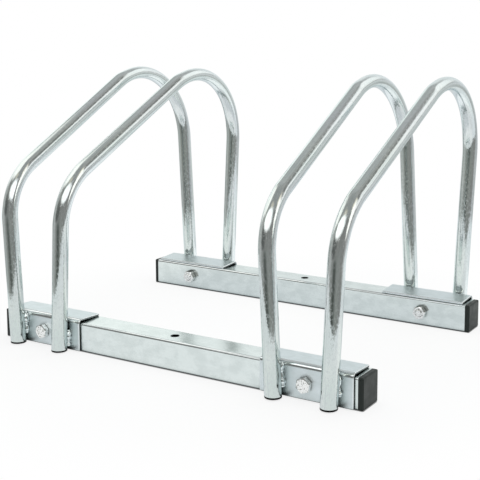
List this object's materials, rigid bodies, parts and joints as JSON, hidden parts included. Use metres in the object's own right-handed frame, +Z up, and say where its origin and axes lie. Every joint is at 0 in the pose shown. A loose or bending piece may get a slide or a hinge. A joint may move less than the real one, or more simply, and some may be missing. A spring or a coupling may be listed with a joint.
{
  "type": "bicycle rack",
  "caption": "Floor rack of bent steel tube hoops in pairs, each pair holding a bicycle wheel upright, bolted through angle brackets to square rails.",
  "frame": {"origin": "centre of the rack's footprint on the floor", "axes": "+X along the rails to the right seen from the low side of the hoops, +Y towards their high side, +Z up"},
  "size_m": [0.42, 0.325, 0.2784],
  "materials": {
    "zinc_tube": "zinc plated",
    "zinc_sheet": "zinc plated",
    "weld_metal": "zinc plated",
    "bright_zinc": "bright zinc plated",
    "black_plastic": "moulded, satin"
  },
  "bodies": {
    "root": {"rail_front": "zinc_tube", "rail_rear": "zinc_tube", "cap_front_left": "black_plastic", "cap_front_right": "black_plastic", "cap_rear_left": "black_plastic", "cap_rear_right": "black_plastic", "bracket_front_left": "zinc_sheet", "bracket_front_right": "zinc_sheet", "bracket_rear_left": "zinc_sheet", "bracket_rear_right": "zinc_sheet", "hoop_left_outer": "zinc_tube", "hoop_left_inner": "zinc_tube", "hoop_right_inner": "zinc_tube", "hoop_right_outer": "zinc_tube", "plug_left_outer_front": "black_plastic", "plug_left_outer_rear": "black_plastic", "plug_left_inner_front": "black_plastic", "plug_left_inner_rear": "black_plastic", "plug_right_inner_front": "black_plastic", "plug_right_inner_rear": "black_plastic", "plug_right_outer_front": "black_plastic", "plug_right_outer_rear": "black_plastic", "weld_front_left": "weld_metal", "weld_front_right": "weld_metal", "weld_rear_left": "weld_metal", "weld_rear_right": "weld_metal", "bolt_front_left": "bright_zinc", "bolt_front_right": "bright_zinc", "bolt_rear_left": "bright_zinc", "bolt_rear_right": "bright_zinc", "nut_front_left": "bright_zinc", "nut_front_right": "bright_zinc", "nut_rear_left": "bright_zinc", "nut_rear_right": "bright_zinc"}
  },
  "joints": []
}
